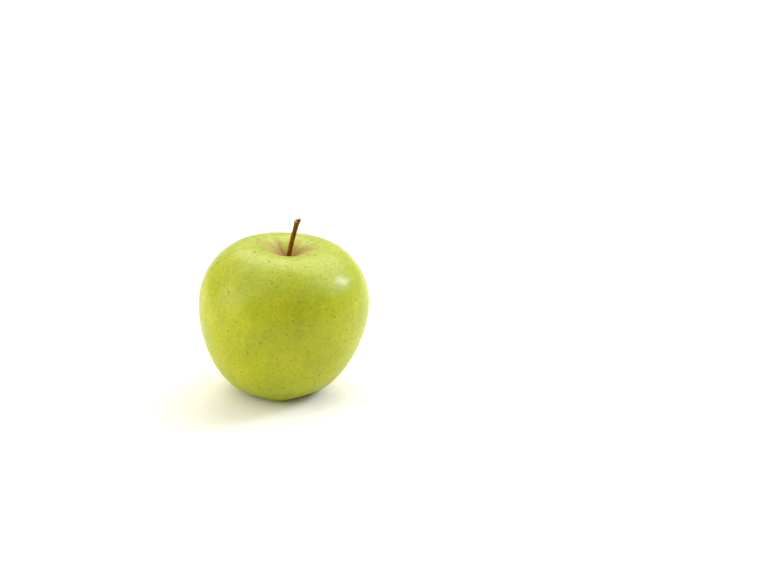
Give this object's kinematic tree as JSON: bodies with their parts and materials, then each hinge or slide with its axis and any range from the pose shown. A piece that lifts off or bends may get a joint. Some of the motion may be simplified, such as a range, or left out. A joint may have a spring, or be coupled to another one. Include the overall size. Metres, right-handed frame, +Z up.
{
  "type": "whole green apple",
  "caption": "Whole ripe green apple with a brown stem in its cavity and a dried calyx in the basin underneath; stands on its crown lobes.",
  "frame": {"origin": "on the resting plane, under the middle of the fruit's box", "axes": "+Z up, from the calyx underneath to the stem; +X the way the fruit and its stem lean"},
  "size_m": [0.0772, 0.0768, 0.0811],
  "materials": {
    "skin": "waxy yellow-green fruit skin with corky dots, tan russet in the stem cavity",
    "stem_wood": "ridged brown woody stalk, dull",
    "dried_calyx": "dry, woolly, grey-brown",
    "dried_stamen": "dry, dark brown"
  },
  "bodies": {
    "root": {"fruit": "skin", "stem": "stem_wood", "calyx_sepal_1": "dried_calyx", "calyx_sepal_2": "dried_calyx", "calyx_sepal_3": "dried_calyx", "calyx_sepal_4": "dried_calyx", "calyx_sepal_5": "dried_calyx", "dried_stamens": "dried_stamen"}
  },
  "joints": []
}
